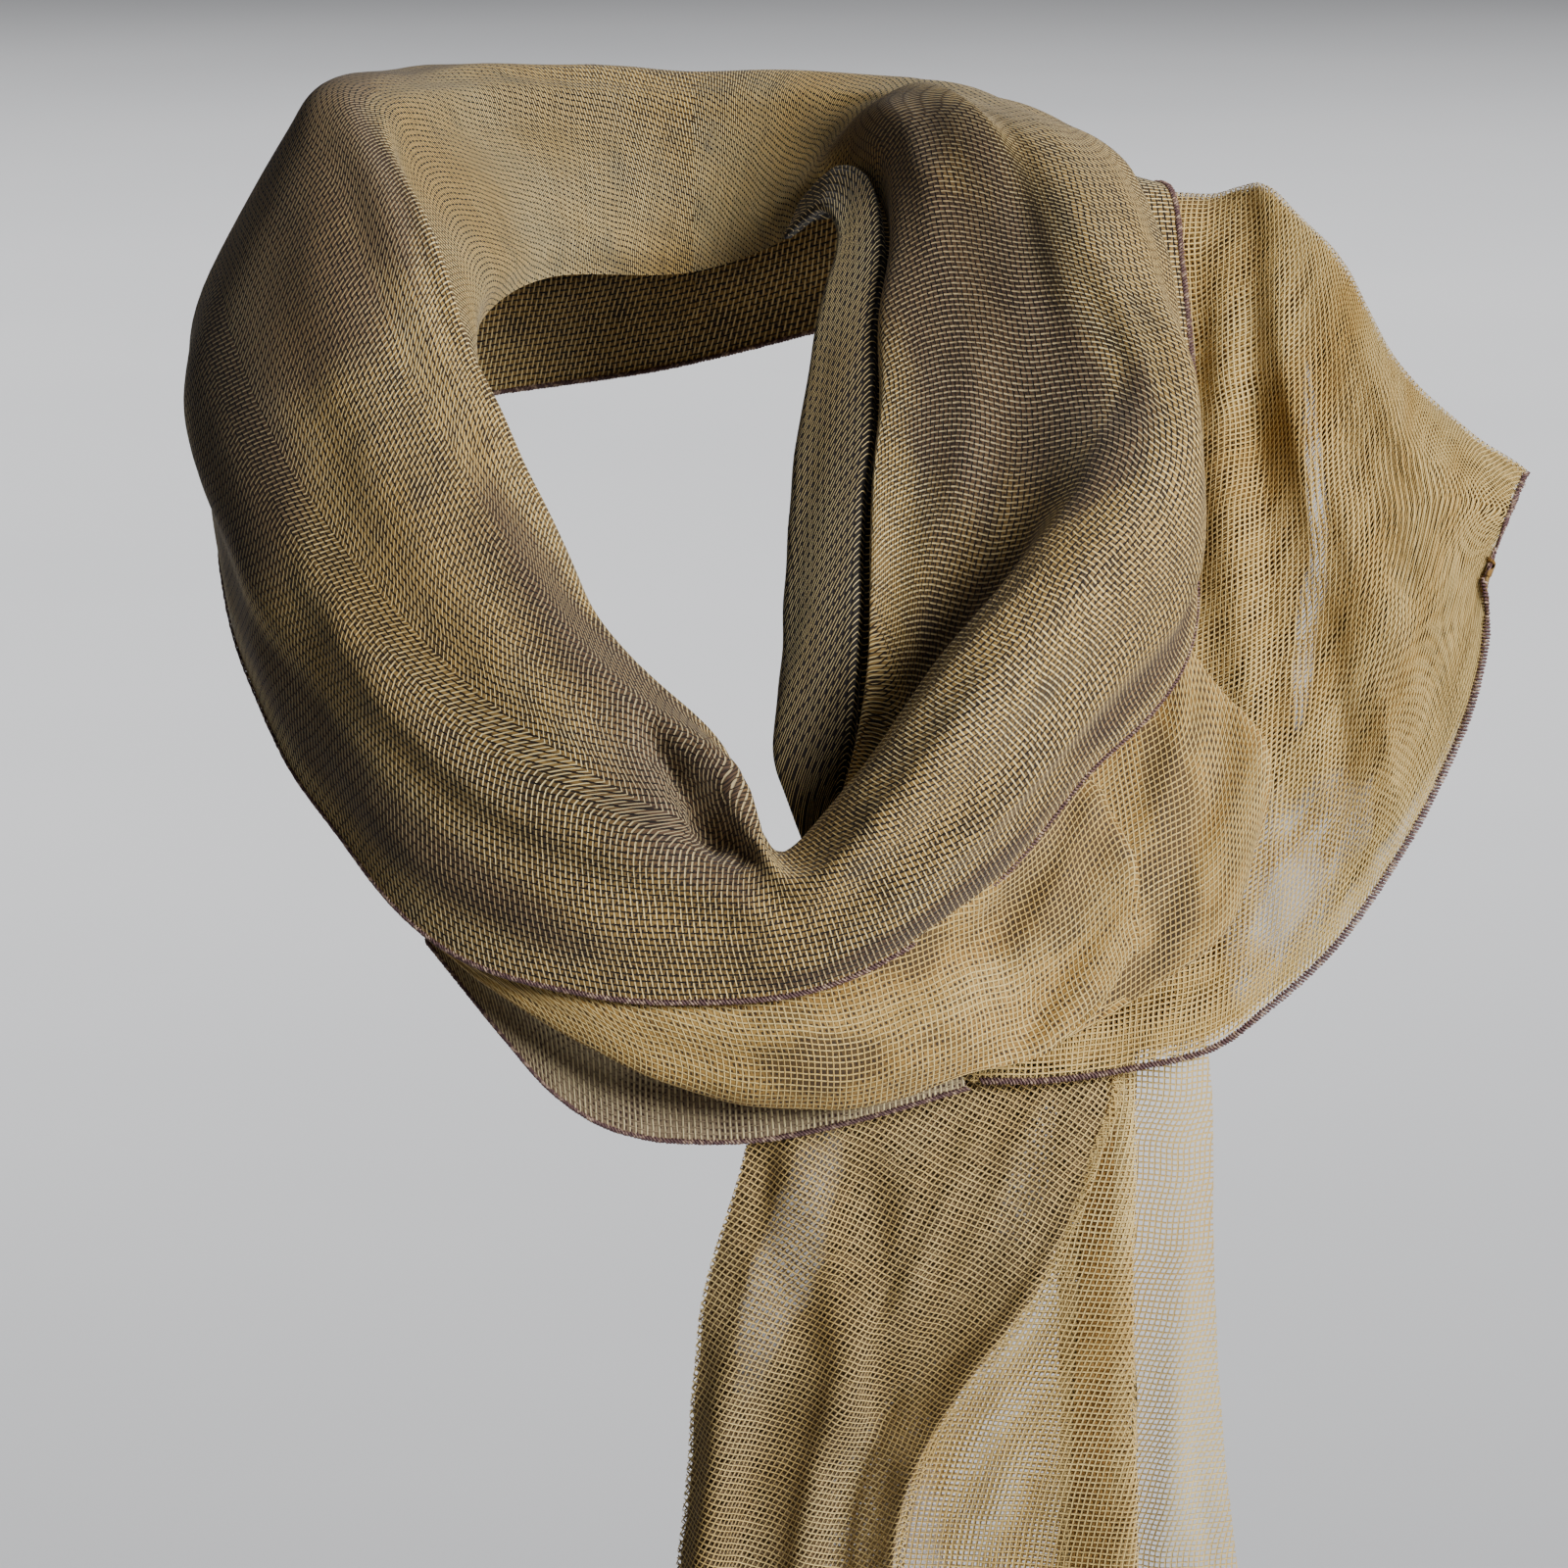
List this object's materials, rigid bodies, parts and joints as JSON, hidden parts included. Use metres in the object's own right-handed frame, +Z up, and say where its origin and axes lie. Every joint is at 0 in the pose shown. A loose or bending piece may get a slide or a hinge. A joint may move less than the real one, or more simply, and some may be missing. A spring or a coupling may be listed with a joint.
{
  "type": "linen gauze scarf",
  "caption": "Sheer open-weave linen scarf worn as a deep cowl round the neck, with one end over a shoulder and a long hanging tail.",
  "frame": {"origin": "middle of the base of the wearer's neck, on the neck's axis", "axes": "+Z up, the wearer faces -Y, +X is the wearer's left, which is the viewer's right from the front"},
  "size_m": [0.4038, 0.2624, 0.6418],
  "materials": {
    "dark_weave": "matt open weave, layered gold over purple brown",
    "deep_weave": "matt open weave in deep shade",
    "gold_weave": "matt sheer open grid of pale gold threads",
    "grey_weave": "matt open weave, grey gold with a purple hem"
  },
  "bodies": {
    "root": {"front_roll": "dark_weave", "shoulder_roll": "dark_weave", "back_roll": "dark_weave", "neck_strand": "deep_weave", "gold_swag": "gold_weave", "second_fold": "gold_weave", "under_layer": "grey_weave", "shoulder_veil": "gold_weave", "tail_front": "gold_weave", "tail_back": "gold_weave"}
  },
  "joints": []
}
